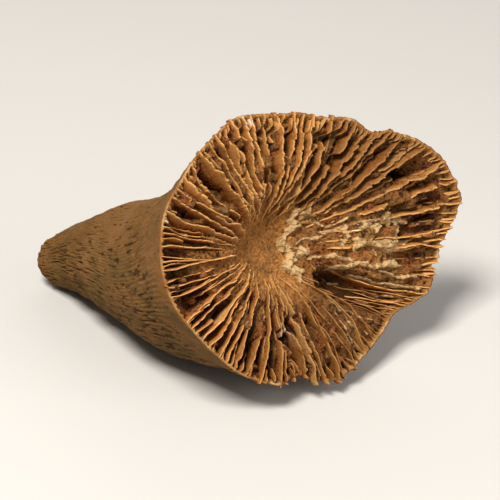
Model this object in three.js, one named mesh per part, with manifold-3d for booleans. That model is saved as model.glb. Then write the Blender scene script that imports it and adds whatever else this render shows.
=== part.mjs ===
// Fossil horn coral: one solitary corallum, lying loose on the belly of its horn.
// Millimetres, +Z up. The origin is under the middle of the coral, on the surface it
// rests on, and +X runs level along the horn, from the blunt tip to the open cup.
//
// The skeleton is one closed solid. It is drawn in the coral's own frame, where the
// edge of the cup lies close to one plane: x across the longer way of the cup, y across
// the shorter way, and z straight out of the cup. It is then laid down on its belly.
import * as THREE from 'three';
import Module from 'manifold-3d';

// Edge of the cup, in order round it: across, up and out. It has two lobes on the wide
// side with a dip between them, and nicks where the ends of the septa broke away.
const RIM_STATIONS = [
  [32.5, 0, -1], [34, 3.5, -0.5], [36.5, 9.5, 0], [34.5, 14.5, 0],
  [31, 18, 0], [25.5, 21, 0], [19, 22.5, 0], [15, 22.2, -1],
  [9, 24.5, 0], [3, 24.5, 0], [-4.5, 25, 0], [-12.5, 24.3, 0],
  [-17.5, 23.5, 0.5], [-21.5, 20.5, 0.5], [-25.5, 16.5, 0], [-28.5, 12, -0.5],
  [-32, 7, 0], [-33, 1, 0], [-32.5, -4.5, 0], [-30, -10, 0],
  [-25.5, -15, 0], [-20, -19.5, 0], [-14, -23, 0.5], [-7, -24.5, 1],
  [-2, -22.9, 0], [2.5, -24.5, 1], [8, -23.5, 1], [13, -19.5, 0],
  [18, -15.5, -1], [21.5, -12, -2], [26, -10, -2], [30, -7, -1],
];

// Stations down the horn: centre across, centre up, height, half width, half depth.
const HORN_STATIONS = [
  [0, 0, 0, 34, 25.5],
  [-3.0, -2.1, -8, 28.4, 21.1],
  [-6.0, -4.0, -16, 23.6, 17.5],
  [-8.8, -4.1, -25, 18.8, 14.9],
  [-12.0, -2.4, -35, 14.3, 11.6],
  [-15.0, -1.6, -45, 10.1, 8.1],
  [-17.6, -1.8, -53, 7.0, 6.1],
  [-19.0, -2.0, -57, 5.0, 4.9],
];

const RIM_HALF_WIDTH = 34; // half width that the edge stations are drawn for
const RIM_HALF_DEPTH = 25.5; // half depth that the edge stations are drawn for
const LOBE_FADE = 0.45; // share of the horn over which the lobes die out
const BELLY_FULLNESS = 0.15; // how much squarer than an ellipse the horn is halfway
const TIP_ROUND = 1.0; // height of the worn cap on the broken tip

const SEPTAL_RIDGES = 40; // ridges that stand for the plates inside the cup
const COLUMNS = SEPTAL_RIDGES * 4; // two columns on each ridge, two in each gap
const WALL_ROWS = 14; // rows from the edge of the cup to the tip
const RIDGE_OVERHANG = 0.45; // how far ridge ends stand proud of the wall
const COSTA_DEPTH = 0.22; // relief of the ribs that run down the wall
const GROWTH_RINGS = [[-20, 0.25], [-36, 0.45], [-43, 0.35]]; // height, swelling
const GROWTH_RING_WIDTH = 2.6;

// Inside of the cup, from the edge to the axial pit: share of the way out from the
// middle of the pit, height on a ridge, height in a gap.
const PIT_CENTRE = [-3.8, 0];
const CUP_ROWS = [
  [0.955, 0.2, -1.4],
  [0.84, 0.1, -4.2],
  [0.68, -0.5, -4.7],
  [0.53, -1.3, -5.3],
  [0.41, -3.6, -6.8],
  [0.29, -7.6, -8.7],
  [0.15, -9.2, -9.4],
];
const PIT_FLOOR = -9.5;
const WALL_THICKNESS = 1.4; // least height of stone left between the cup and the wall
const WALL_STEP = 0.01; // step down the horn when looking for the wall under a point
// The trough between the two lobes of the wide side: from, to, half width, depth.
const TROUGH = { from: [6, -6], to: [25, -11], halfWidth: 4.2, depth: 3.4 };

// How the coral lies: the direction in its own frame that ends up pointing up, the
// direction of the horn, and where its own origin ends up.
const UP = new THREE.Vector3(-0.215, 0.884, 0.416).normalize();
const HORN_AXIS = new THREE.Vector3(19.0, 2.1, 57.0).normalize();
const PLACE = new THREE.Vector3(22.34, -2.77, 25.41);

// Fossil coral skeleton: tan limestone, dull all over.
const corallite = new THREE.MeshStandardMaterial({
  name: 'coral_stone',
  color: 0x9c7442,
  roughness: 0.88,
  metalness: 0,
});

const rimCurve = new THREE.CatmullRomCurve3(
  RIM_STATIONS.map((station) => new THREE.Vector3(...station)),
  true,
  'catmullrom',
  0.5,
);
rimCurve.arcLengthDivisions = 4000;

const axisCurve = new THREE.CatmullRomCurve3(
  HORN_STATIONS.map(([x, y, z]) => new THREE.Vector3(x, y, z)),
  false,
  'catmullrom',
  0.5,
);

const girthCurve = new THREE.CatmullRomCurve3(
  HORN_STATIONS.map(([, , , width, depth]) => new THREE.Vector3(width, depth, 0)),
  false,
  'catmullrom',
  0.5,
);

// Columns alternate in pairs: two on a ridge, two in the gap beside it.
function onRidge(column) {
  return column % 4 < 2;
}

// Swelling of the wall at the growth rings, at a height down the horn.
function ringSwelling(height) {
  return GROWTH_RINGS.reduce((sum, [ringHeight, swelling]) => {
    const offset = (height - ringHeight) / GROWTH_RING_WIDTH;
    return sum + swelling * Math.exp(-offset * offset);
  }, 0);
}

// Point on the outer wall: column round it, s from 0 at the edge to 1 at the tip.
function wallPoint(column, s) {
  const rim = rimCurve.getPointAt(column / COLUMNS);
  const centre = axisCurve.getPoint(s);
  const girth = girthCurve.getPoint(s);
  const roundness = THREE.MathUtils.smoothstep(s, 0, LOBE_FADE);
  const angle = Math.atan2(rim.y, rim.x);
  const fullness = 2 + BELLY_FULLNESS * Math.sin(Math.PI * Math.min(1, s * 1.15));
  const cos = Math.cos(angle);
  const sin = Math.sin(angle);
  const oval = new THREE.Vector2(
    Math.sign(cos) * Math.abs(cos) ** (2 / fullness) * girth.x,
    Math.sign(sin) * Math.abs(sin) ** (2 / fullness) * girth.y,
  );
  const lobed = new THREE.Vector2(
    (rim.x * girth.x) / RIM_HALF_WIDTH,
    (rim.y * girth.y) / RIM_HALF_DEPTH,
  );
  const section = lobed.lerp(oval, roundness);
  const costa = (onRidge(column) ? 1 : -1) * COSTA_DEPTH * (1 - s);
  section.setLength(section.length() + costa + ringSwelling(centre.z));
  return new THREE.Vector3(
    section.x + centre.x,
    section.y + centre.y,
    centre.z + rim.z * (1 - roundness),
  );
}

// How far into the trough a point of the cup lies: 1 on its line, 0 clear of it.
function inTrough(x, y) {
  const from = new THREE.Vector2(...TROUGH.from);
  const along = new THREE.Vector2(...TROUGH.to).sub(from);
  const toPoint = new THREE.Vector2(x, y).sub(from);
  const share = THREE.MathUtils.clamp(toPoint.dot(along) / along.lengthSq(), 0, 1);
  const distance = toPoint.sub(along.multiplyScalar(share)).length();
  return 1 - THREE.MathUtils.smoothstep(distance, 0, TROUGH.halfWidth);
}

// Height of the outer wall under a point of the cup, on the line from the pit to the
// column's rim point, share of the way out.
function wallHeightUnder(rim, column, share) {
  const outward = new THREE.Vector2(rim.x - PIT_CENTRE[0], rim.y - PIT_CENTRE[1]);
  let wall = wallPoint(column, 0);
  for (let s = WALL_STEP; s < 1; s += WALL_STEP) {
    const reach = new THREE.Vector2(wall.x - PIT_CENTRE[0], wall.y - PIT_CENTRE[1]);
    if (reach.dot(outward) <= share * outward.lengthSq()) return wall.z;
    wall = wallPoint(column, s);
  }
  return wall.z;
}

// Point inside the cup, on the row's ridge or in its gap.
function cupPoint(column, [share, ridgeHeight, gapHeight]) {
  const rim = rimCurve.getPointAt(column / COLUMNS);
  const x = PIT_CENTRE[0] + (rim.x - PIT_CENTRE[0]) * share;
  const y = PIT_CENTRE[1] + (rim.y - PIT_CENTRE[1]) * share;
  const height = onRidge(column) ? ridgeHeight : gapHeight;
  const room = THREE.MathUtils.smoothstep(share, 0.15, 0.5);
  const hollowed = height + rim.z * share - TROUGH.depth * room * inTrough(x, y);
  const lowest = wallHeightUnder(rim, column, share) + WALL_THICKNESS;
  return new THREE.Vector3(x, y, Math.max(hollowed, Math.min(lowest, rim.z)));
}

// The edge itself: ridge ends stand proud, and the gaps between them are cut back.
function edgePoint(column) {
  const point = wallPoint(column, 0);
  const inward = new THREE.Vector2(point.x, point.y);
  const overhang = onRidge(column) ? RIDGE_OVERHANG : -RIDGE_OVERHANG;
  inward.setLength(inward.length() + overhang);
  return new THREE.Vector3(inward.x, inward.y, point.z + (onRidge(column) ? 0 : -0.8));
}

// Rows of the closed skin, in order from the middle of the pit to the tip.
function skinRows() {
  const columns = Array.from({ length: COLUMNS }, (_, column) => column);
  const cup = [...CUP_ROWS].reverse().map((row) => columns.map((c) => cupPoint(c, row)));
  const edge = columns.map((column) => edgePoint(column));
  const wall = [];
  for (let row = 1; row <= WALL_ROWS; row += 1) {
    const s = (row / WALL_ROWS) ** 1.15;
    wall.push(columns.map((column) => wallPoint(column, s)));
  }
  return [...cup, edge, ...wall];
}

// Positions and triangles of the whole skin, closed at the pit and at the tip.
function skin() {
  const rows = skinRows();
  const points = rows.flat();
  const pit = points.length;
  points.push(new THREE.Vector3(PIT_CENTRE[0], PIT_CENTRE[1], PIT_FLOOR));
  const tip = points.length;
  const tipCentre = axisCurve.getPoint(1);
  points.push(new THREE.Vector3(tipCentre.x, tipCentre.y, tipCentre.z - TIP_ROUND));
  const triangles = [];
  for (let column = 0; column < COLUMNS; column += 1) {
    const next = (column + 1) % COLUMNS;
    triangles.push(pit, column, next);
    for (let row = 0; row < rows.length - 1; row += 1) {
      const inner = row * COLUMNS;
      const outer = inner + COLUMNS;
      triangles.push(inner + column, outer + column, outer + next);
      triangles.push(inner + column, outer + next, inner + next);
    }
    const last = (rows.length - 1) * COLUMNS;
    triangles.push(last + column, tip, last + next);
  }
  return { points, triangles };
}

// Turn from the coral's own frame to the way it lies.
function layDown(points) {
  const along = HORN_AXIS.clone().addScaledVector(UP, -HORN_AXIS.dot(UP)).normalize();
  const across = UP.clone().cross(along);
  return points.map((point) =>
    new THREE.Vector3(point.dot(along), point.dot(across), point.dot(UP)).add(PLACE),
  );
}

// The belly is worn flat where it touches the surface, which is the plane z = 0.
async function wearFlat({ points, triangles }) {
  const wasm = await Module();
  wasm.setup();
  const mesh = new wasm.Mesh({
    numProp: 3,
    vertProperties: new Float32Array(points.flatMap((point) => point.toArray())),
    triVerts: new Uint32Array(triangles),
  });
  const worn = new wasm.Manifold(mesh).trimByPlane([0, 0, 1], 0).getMesh();
  const geometry = new THREE.BufferGeometry();
  geometry.setAttribute('position', new THREE.BufferAttribute(worn.vertProperties, 3));
  geometry.setIndex(new THREE.BufferAttribute(worn.triVerts, 1));
  geometry.computeVertexNormals();
  return geometry;
}

const { points, triangles } = skin();
const corallum = new THREE.Mesh(
  await wearFlat({ points: layDown(points), triangles }),
  corallite,
);
corallum.name = 'corallum';

const group = new THREE.Group();
group.add(corallum);

export default group;
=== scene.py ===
"""Fossil horn coral, lying loose on a pale studio floor.

The coral is one skeleton.  It is drawn in its own frame, in millimetres, where the
edge of the cup lies close to one plane: x across the longer way of the cup, y across
the shorter way and z straight out of it.  Lie carries every point from there to the
way the coral lies on the floor, in metres.
"""

import logging
import math
from dataclasses import dataclass, field
from enum import Enum
from itertools import product

import bpy
import numpy as np
from mathutils import Matrix, Vector
from numpy.typing import NDArray


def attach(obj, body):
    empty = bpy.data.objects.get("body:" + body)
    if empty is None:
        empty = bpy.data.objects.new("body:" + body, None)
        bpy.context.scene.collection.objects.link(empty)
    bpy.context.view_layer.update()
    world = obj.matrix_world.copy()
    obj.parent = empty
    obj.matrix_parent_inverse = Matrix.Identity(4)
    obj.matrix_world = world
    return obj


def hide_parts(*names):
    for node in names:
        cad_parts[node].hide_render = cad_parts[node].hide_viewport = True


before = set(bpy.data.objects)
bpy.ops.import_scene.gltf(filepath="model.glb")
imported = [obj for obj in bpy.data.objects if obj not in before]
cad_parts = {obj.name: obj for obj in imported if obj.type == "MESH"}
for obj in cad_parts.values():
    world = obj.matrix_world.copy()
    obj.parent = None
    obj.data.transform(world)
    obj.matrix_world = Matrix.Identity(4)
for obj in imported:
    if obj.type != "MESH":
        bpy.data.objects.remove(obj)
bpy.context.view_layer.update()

Array = NDArray[np.float64]
Index = NDArray[np.int64]
Pair = tuple[float, float]
Triple = tuple[float, float, float]
Colour = Triple
Socket = bpy.types.NodeSocket

log = logging.getLogger("horn_coral")

BODY = "root"
NODE = "corallum"
MM = 0.001

SEPTA = 160
PIT_CENTRE = np.array([-1.4, 0.3])
RIM_LENGTH = 190.0  # along the edge of the cup
HORN_HEIGHT = 56.0  # from the edge of the cup to the tip

# The way from the tip to the cup.
HORN_AXIS = np.array([19.0, 2.1, 57.0])
HORN_AXIS /= np.linalg.norm(HORN_AXIS)

# Edge of the cup, in order round it: across, up and out.
RIM_STATIONS = np.array([
    (32.5, 0, -1), (34, 3.5, -0.5), (36.5, 9.5, 0), (34.5, 14.5, 0),
    (31, 18, 0), (25.5, 21, 0), (19, 22.5, 0), (15, 22.2, -1),
    (9, 24.5, 0), (3, 24.5, 0), (-4.5, 25, 0), (-12.5, 24.3, 0),
    (-17.5, 23.5, 0.5), (-21.5, 20.5, 0.5), (-25.5, 16.5, 0), (-28.5, 12, -0.5),
    (-32, 7, 0), (-33, 1, 0), (-32.5, -4.5, 0), (-30, -10, 0),
    (-25.5, -15, 0), (-20, -19.5, 0), (-14, -23, 0.5), (-7, -24.5, 1),
    (-2, -22.9, 0), (2.5, -24.5, 1), (8, -23.5, 1), (13, -19.5, 0),
    (18, -15.5, -1), (21.5, -12, -2), (26, -10, -2), (30, -7, -1),
], dtype=float)

# Stations down the horn: centre across, centre up, height, half width, half depth.
HORN_STATIONS = np.array([
    (0, 0, 0, 34, 25.5),
    (-3.0, -2.1, -8, 28.4, 21.1),
    (-6.0, -4.0, -16, 23.6, 17.5),
    (-8.8, -4.1, -25, 18.8, 14.9),
    (-12.0, -2.4, -35, 14.3, 11.6),
    (-15.0, -1.6, -45, 10.1, 8.1),
    (-17.6, -1.8, -53, 7.0, 6.1),
    (-19.0, -2.0, -57, 5.0, 4.9),
], dtype=float)


# --------------------------------------------------------------------------- noise
def lattice(cells: Index, seed: int) -> Array:
    """Give each point of an integer lattice its own number from 0 to 1.

    Args:
        cells: integer coordinates, three in the last axis.
        seed: which set of numbers to use.

    Returns:
        One number per point.
    """
    mask = np.int64(0x7FFFFFFF)
    mixed = (cells[..., 0] * 73856093) ^ (cells[..., 1] * 19349663)
    mixed = (mixed ^ (cells[..., 2] * 83492791) ^ (seed * 668265263)) & mask
    mixed = ((mixed ^ (mixed >> 13)) * 1274126177) & mask
    mixed = ((mixed ^ (mixed >> 16)) * 69069) & mask
    return ((mixed >> 7) & 0xFFFF) / 65535.0


def noise(points: Array, size: float, seed: int) -> Array:
    """Smooth noise from -1 to 1: the lattice's numbers, eased between its points.

    Args:
        points: positions, three coordinates in the last axis.
        size: distance between lattice points.
        seed: which noise to use.

    Returns:
        One value per position.
    """
    scaled = points / size
    cell = np.floor(scaled).astype(np.int64)
    part = scaled - cell
    ease = part * part * (3 - 2 * part)
    total = np.zeros(points.shape[:-1])
    for corner in product((0, 1), repeat=3):
        weight = np.prod(np.where(np.array(corner) == 1, ease, 1 - ease), axis=-1)
        total += weight * lattice(cell + np.array(corner), seed)
    return total * 2 - 1


def rough(points: Array, size: float, seed: int, octaves: int = 3) -> Array:
    """Layered noise: each octave has half the size and half the height of the last.

    Args:
        points: positions, three coordinates in the last axis.
        size: distance between lattice points in the first octave.
        seed: which noise to start with.
        octaves: how many layers there are.

    Returns:
        One value per position.
    """
    total = np.zeros(points.shape[:-1])
    for octave in range(octaves):
        total += noise(points, size / 2**octave, seed + octave * 17) / 2**octave
    return total


def ease_between(low: float, high: float, value: Array) -> Array:
    """Rise smoothly from 0 at low to 1 at high."""
    part = np.clip((value - low) / (high - low), 0, 1)
    return part * part * (3 - 2 * part)


def shade(colour: Colour, share: float) -> Colour:
    """A colour made darker: each of its parts times share."""
    return tuple(share * part for part in colour)


def stack(*coordinates: Array) -> Array:
    """Broadcast coordinates against each other and stack them in a last axis."""
    return np.stack(np.broadcast_arrays(*coordinates), axis=-1).astype(float)


def leftward(run: Array) -> Array:
    """Unit vectors to the left of ways given in plan."""
    side = stack(-run[..., 1], run[..., 0])
    return side / np.linalg.norm(side, axis=-1, keepdims=True)


# ------------------------------------------------------------------- shape of the coral
def catmull_rom(stations: Array, place: Array, closed: bool) -> Array:
    """Point on the uniform Catmull-Rom spline through stations.

    Args:
        stations: the points that the curve passes through.
        place: position along it, 0 to 1, equal steps from station to station.
        closed: whether the curve joins up.

    Returns:
        One point per place.
    """
    count = len(stations)
    if closed:
        padded = np.vstack([stations[-1:], stations, stations[:2]])
        along = np.mod(place, 1.0) * count
        index = np.minimum(np.floor(along).astype(int), count - 1)
    else:
        before = 2 * stations[:1] - stations[1:2]
        after = 2 * stations[-1:] - stations[-2:-1]
        padded = np.vstack([before, stations, after])
        along = np.clip(place, 0, 1) * (count - 1)
        index = np.minimum(np.floor(along).astype(int), count - 2)
    part = (along - index)[..., None]
    p0, p1, p2, p3 = (padded[index + i] for i in range(4))
    return p1 + 0.5 * part * (
        (p2 - p0) + part * (
            (2 * p0 - 5 * p1 + 4 * p2 - p3) + part * (3 * p1 - p0 - 3 * p2 + p3)
        )
    )


@dataclass(frozen=True)
class Lie:
    """How the coral lies: from its own frame in millimetres to the floor in metres."""

    up: Triple = (-0.215, 0.884, 0.416)
    place: Triple = (22.34, -2.77, 25.41)

    def basis(self) -> Array:
        """Rows: the directions of X, Y and Z, given in the coral's own frame."""
        up = np.array(self.up) / np.linalg.norm(self.up)
        along = HORN_AXIS - (HORN_AXIS @ up) * up
        along /= np.linalg.norm(along)
        return np.array([along, np.cross(up, along), up])

    def points(self, own: Array) -> Array:
        """Carry points from the coral's own frame to the floor."""
        return (own @ self.basis().T + np.array(self.place)) * MM

    def worn(self, own: Array) -> Array:
        """Lift points that would lie under the floor up to it: the worn flats."""
        up = self.basis()[2]
        depth = np.minimum(own @ up + self.place[2], 0.0)
        return own - depth[..., None] * up

    def direction(self, own: Triple) -> Vector:
        """Carry a direction from the coral's own frame to the floor."""
        return Vector(self.basis() @ np.array(own)).normalized()


@dataclass
class Horn:
    """The outer wall: a lobed rim that turns into a plain oval down a bent axis."""

    rim_half: Pair = (34.0, 25.5)
    lobe_fade: float = 0.45
    belly_fullness: float = 0.15
    rings: tuple[Pair, ...] = ((-20, 0.25), (-36, 0.45), (-43, 0.35))
    ring_width: float = 2.6
    samples: int = 4000
    lengths: Array = field(init=False)

    def __post_init__(self) -> None:
        """Measure the rim once, so that places on it can be given by distance."""
        steps = np.arange(self.samples + 1) / self.samples
        dense = catmull_rom(RIM_STATIONS, steps, True)
        spans = np.linalg.norm(np.diff(dense, axis=0), axis=1)
        self.lengths = np.concatenate([[0.0], np.cumsum(spans)])

    def rim(self, around: Array) -> Array:
        """Point on the rim, around from 0 to 1 by distance along it."""
        share = np.mod(around, 1.0) * self.lengths[-1]
        steps = np.arange(self.samples + 1) / self.samples
        return catmull_rom(RIM_STATIONS, np.interp(share, self.lengths, steps), True)

    def wall(self, around: Array, down: Array, proud: Array | float = 0.0) -> Array:
        """Point on the outer wall.

        The rim's outline, scaled to the station's half width and depth, is blended
        into a slightly squared oval, and moved to the station's centre.

        Args:
            around: place round the wall, 0 to 1 by distance along the rim.
            down: place down the horn, 0 at the rim and 1 at the tip.
            proud: how far outward the point stands from the smooth wall.

        Returns:
            Points in the coral's own frame.
        """
        around, down = np.broadcast_arrays(around, down)
        rim = self.rim(around)
        station = catmull_rom(HORN_STATIONS, down, False)
        roundness = ease_between(0, self.lobe_fade, down)[..., None]
        angle = np.arctan2(rim[..., 1], rim[..., 0])
        bulge = np.sin(np.pi * np.minimum(1, down * 1.15))
        power = 2 / (2 + self.belly_fullness * bulge)
        cos, sin = np.cos(angle), np.sin(angle)
        oval = stack(
            np.sign(cos) * np.abs(cos) ** power * station[..., 3],
            np.sign(sin) * np.abs(sin) ** power * station[..., 4],
        )
        lobed = rim[..., :2] * station[..., 3:5] / np.array(self.rim_half)
        section = lobed * (1 - roundness) + oval * roundness
        swelling = sum(
            size * np.exp(-(((station[..., 2] - height) / self.ring_width) ** 2))
            for height, size in self.rings
        )
        reach = np.linalg.norm(section, axis=-1)
        section = section * ((reach + swelling + proud) / reach)[..., None]
        height = station[..., 2] + rim[..., 2] * (1 - roundness[..., 0])
        return np.concatenate([section + station[..., :2], height[..., None]], axis=-1)


def sector(angle: Array, count: int) -> tuple[Index, Array]:
    """Which of count even sectors an angle is in, and the eased share of the next."""
    turn = np.mod(angle / (2 * np.pi), 1.0) * count
    first = np.floor(turn).astype(int) % count
    return first, ease_between(0, 1, turn - np.floor(turn))


def by_sector(table: tuple[float, ...], angle: Array) -> Array:
    """Value at an angle, in radians, of a table evenly spread round the cup."""
    values = np.array(table)
    first, part = sector(angle, len(values))
    return values[first] * (1 - part) + values[(first + 1) % len(values)] * part


def between(table: Array, first: Index, part: Array, place: Array) -> Array:
    """Value between the rows and columns of a table that closes on itself.

    Args:
        table: rows spread round the cup, columns on the way in.
        first: the row before.
        part: how far on to the row after, 0 to 1.
        place: how many columns in.

    Returns:
        One value per place.
    """
    column = np.minimum(np.floor(place).astype(int), table.shape[1] - 2)
    share = place - column

    def row(index: Index) -> Array:
        """Value in one row, between its two columns."""
        low, high = table[index, column], table[index, column + 1]
        return low * (1 - share) + high * share

    return row(first) * (1 - part) + row((first + 1) % len(table)) * part


def off_line(plan: Array, start: Array, end: Array) -> tuple[Array, Array]:
    """Where along a straight line places lie, 0 to 1, and how far off it."""
    run = end - start
    share = np.clip(((plan - start) @ run) / (run @ run), 0, 1)
    return share, np.linalg.norm(plan - start - share[..., None] * run, axis=-1)


@dataclass
class AroundTable:
    """Numbers that vary round the cup and inward, eased between given stations.

    Rows are evenly spread angles round the pit, from the wide side of the cup; columns
    are the places inward given in inward.
    """

    inward: tuple[float, ...]
    rows: tuple[tuple[float, ...], ...]

    def at(self, angle: Array, inward: Array) -> Array:
        """Value at an angle, in radians, and a place inward."""
        first, part = sector(angle, len(self.rows))
        place = np.interp(inward, self.inward, np.arange(len(self.inward)))
        return between(np.array(self.rows), first, part, place)


@dataclass
class Cup:
    """The inside of the cup: where septa run, how high they stand, how full it is.

    A place in the cup is (around, inward): around as on the rim, inward 0 at the rim,
    1 at the edge of the axial pit and 1.35 in the middle of the pit.  The platform is
    the height of the crest over the rim's plane, the emptiness how far the sediment
    stays below it, both in millimetres.  The table of tones by side makes the stone
    lighter and darker round the cup: partly its own tone, partly painted light and
    shade.  The chalk lists white spots, and rim_drop is how far the wall is worn down.
    """

    horn: Horn
    pit_half: Pair = (8.0, 5.4)
    pit_skew: float = 0.4
    middle: float = 1.35
    hollows: tuple[tuple[Pair, Pair, float, float], ...] = (
        ((7.4, -6.2), (19.0, -9.2), 4.0, 4.8),
        ((-5.6, -17.0), (-3.0, -12.6), 1.3, 3.6),
        ((-30.0, 4.5), (-25.0, 3.0), 1.4, 2.6),
        ((-28.5, -10.5), (-25.0, -8.8), 1.2, 2.6),
        ((22.0, 14.5), (27.5, 17.2), 1.9, 2.6),
    )
    platform: AroundTable = field(default_factory=lambda: AroundTable(
        (0, 0.12, 0.3, 0.5, 0.7, 0.85, 1.0, 1.35),
        (
            (0.0, 0.2, 0.1, -0.3, -1.0, -2.2, -4.6, -7.8),
            (0.0, 0.3, 0.2, -0.4, -1.6, -3.5, -6.0, -8.0),
            (0.2, 0.5, 0.4, 0.0, -1.6, -4.6, -7.4, -8.2),
            (0.0, 0.2, 0.2, -0.2, -1.4, -4.4, -7.6, -8.4),
            (0.0, 0.1, 0.0, -0.6, -2.2, -4.6, -7.2, -8.4),
            (0.0, 0.1, 0.0, -0.6, -1.9, -3.9, -6.6, -8.2),
            (0.2, 0.4, 0.2, -0.6, -1.8, -3.4, -6.0, -8.0),
            (-0.2, 0.0, -0.2, -0.8, -1.8, -3.2, -5.4, -7.8),
        ),
    ))
    emptiness: AroundTable = field(default_factory=lambda: AroundTable(
        (0.06, 0.15, 0.3, 0.5, 0.7, 0.9, 1.35),
        (
            (1.2, 1.6, 1.5, 0.8, 0.4, 0.3, 0.1),
            (2.5, 3.5, 2.8, 1.2, 0.6, 0.4, 0.1),
            (3.0, 4.5, 4.2, 2.2, 1.0, 0.6, 0.1),
            (3.0, 4.8, 5.0, 3.8, 2.4, 1.0, 0.1),
            (2.8, 4.2, 4.2, 3.3, 2.2, 1.0, 0.1),
            (2.6, 3.6, 3.6, 2.9, 1.9, 0.9, 0.1),
            (2.6, 3.4, 3.3, 2.6, 1.7, 0.8, 0.1),
            (2.4, 3.2, 2.8, 2.0, 1.3, 0.7, 0.1),
            (3.0, 3.2, 1.8, 0.9, 0.5, 0.3, 0.1),
            (3.5, 4.0, 2.4, 0.8, 0.4, 0.25, 0.1),
            (4.0, 4.8, 3.6, 1.6, 0.7, 0.3, 0.1),
            (3.4, 4.2, 3.8, 2.4, 1.0, 0.4, 0.1),
            (3.0, 4.0, 4.2, 3.2, 1.8, 0.6, 0.1),
            (1.0, 1.2, 0.8, 0.45, 0.35, 0.3, 0.1),
            (0.25, 0.35, 0.35, 0.35, 0.3, 0.25, 0.1),
            (0.8, 1.2, 1.2, 0.9, 0.6, 0.4, 0.1),
        ),
    ))
    # Lighter or darker by side of the cup: partly the stone's tone, partly painted
    # light and shade.
    tone_and_shade_by_side: tuple[float, ...] = (
        1.25, 1.0, 0.7, 0.7, 1.0, 1.05, 1.0, 1.08,
        1.2, 1.2, 1.12, 0.9, 0.76, 0.78, 0.82, 1.25,
    )
    chalk: tuple[tuple[Pair, float, float], ...] = (
        ((-14.2, 23.6), 1.5, 0.9), ((-32.4, 5.0), 1.2, 1.0), ((-4.6, -15.6), 1.4, 0.7),
    )
    rim_drop: tuple[float, ...] = (0.7, 0.2, 0.4, 0.1, 0.0, 0.0, 1.2, 0.1)
    wall_inset: float = 0.9
    wall_samples: int = 90
    wall_columns: int = 640
    wall_table: Array = field(init=False)

    def __post_init__(self) -> None:
        """Tabulate the height of the outer wall under each place of the cup."""
        around = np.arange(self.wall_columns) / self.wall_columns
        inward = np.linspace(0, 1, self.wall_samples)
        self.wall_table = self.height_under(self.plan(around[:, None], inward[None, :]))

    def height_under(
        self, plan: Array, levels: int = 90, turns: int = 720, halvings: int = 11,
        deepest: float = 0.6,
    ) -> Array:
        """Height of the inside of the wall straight under points seen square on.

        The wall is cut into level sections, each with its reach and height by angle
        from the section's centre.  Halving finds the section that a point lies on.

        Args:
            plan: the points, across and up.
            levels: number of sections.
            turns: number of angles in each section.
            halvings: how often the choice of sections is halved.
            deepest: place down the horn of the last section.

        Returns:
            One height per point.
        """
        down = np.linspace(0, deepest, levels)
        centre = catmull_rom(HORN_STATIONS, down, False)[:, :2]
        grid = np.linspace(-np.pi, np.pi, turns)
        reach, height = np.zeros((2, levels, turns))
        for level in range(levels):
            inset = -self.wall_inset * ease_between(0, 0.035, down[level])
            wall = self.horn.wall(np.arange(turns) / turns, down[level], inset)
            flat = wall[:, :2] - centre[level]
            angle = np.arctan2(flat[:, 1], flat[:, 0])
            far = np.linalg.norm(flat, axis=1)
            reach[level] = np.interp(grid, *self.in_order(angle, far), period=2 * np.pi)
            height[level] = np.interp(
                grid, *self.in_order(angle, wall[:, 2]), period=2 * np.pi
            )
        low, high = np.zeros(plan.shape[:-1]), np.full(plan.shape[:-1], levels - 1.0)
        for _ in range(halvings):
            middle = (low + high) / 2
            inside = self.beyond(plan, middle, centre, reach) < 0
            low, high = np.where(inside, middle, low), np.where(inside, high, middle)
        column, level = self.turned(plan, low, centre, turns), low.astype(int)
        part = low - level
        upper = height[level, column]
        lower = height[np.minimum(level + 1, levels - 1), column]
        return upper + part * (lower - upper)

    @staticmethod
    def in_order(angle: Array, value: Array) -> tuple[Array, Array]:
        """Angles in rising order, and the values that go with them."""
        order = np.argsort(angle)
        return angle[order], value[order]

    @staticmethod
    def turned(plan: Array, level: Array, centre: Array, turns: int) -> Index:
        """Number of the angle at which points lie from the centre of their section."""
        flat = plan - centre[np.round(level).astype(int)]
        turn = np.arctan2(flat[..., 1], flat[..., 0]) / (2 * np.pi) + 0.5
        return np.round(turn * (turns - 1)).astype(int)

    def beyond(self, plan: Array, level: Array, centre: Array, reach: Array) -> Array:
        """How far points lie outside the section of their level.

        Args:
            plan: points seen square on, across and up.
            level: number of the section, not always whole.
            centre: centres of the sections.
            reach: reach of each section by angle.

        Returns:
            Millimetres, below zero inside the section.
        """
        column = self.turned(plan, level, centre, reach.shape[1])
        number = np.round(level).astype(int)
        far = np.linalg.norm(plan - centre[number], axis=-1)
        return far - reach[number, column]

    def drop(self, around: Array) -> Array:
        """How far the worn wall stays below the outer ends of the septa."""
        place = stack(around * RIM_LENGTH, 0 * around, 0 * around)
        ragged = 1 + 0.5 * noise(place, 1.3, 31) + noise(place, 6.0, 32)
        return np.maximum(by_sector(self.rim_drop, self.angle(around)) * ragged, 0.0)

    def start(self, around: Array) -> Array:
        """First place inward that is a little below the top of the wall, inside it.

        Args:
            around: place round the rim, 0 to 1.

        Returns:
            One place inward for each place round the rim.
        """
        around = np.mod(around, 1.0)
        inward = np.linspace(0, 1, self.wall_samples)
        edges = np.arange(self.wall_columns + 1) / self.wall_columns
        top = self.horn.rim(edges)[:, 2] - self.drop(edges) - 0.7
        rows = [
            np.interp(-level, -self.wall_table[i % self.wall_columns], inward)
            for i, level in enumerate(top)
        ]
        return np.interp(around, edges, np.array(rows))

    def angle(self, around: Array) -> Array:
        """Angle of a rim place round the pit, as if the cup were a circle.

        Args:
            around: place round the rim, 0 to 1.

        Returns:
            Radians, 0 towards the wide side.
        """
        rim = self.horn.rim(around)
        half = self.horn.rim_half
        return np.arctan2(
            (rim[..., 1] - PIT_CENTRE[1]) / half[1],
            (rim[..., 0] - PIT_CENTRE[0]) / half[0],
        )

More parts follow.
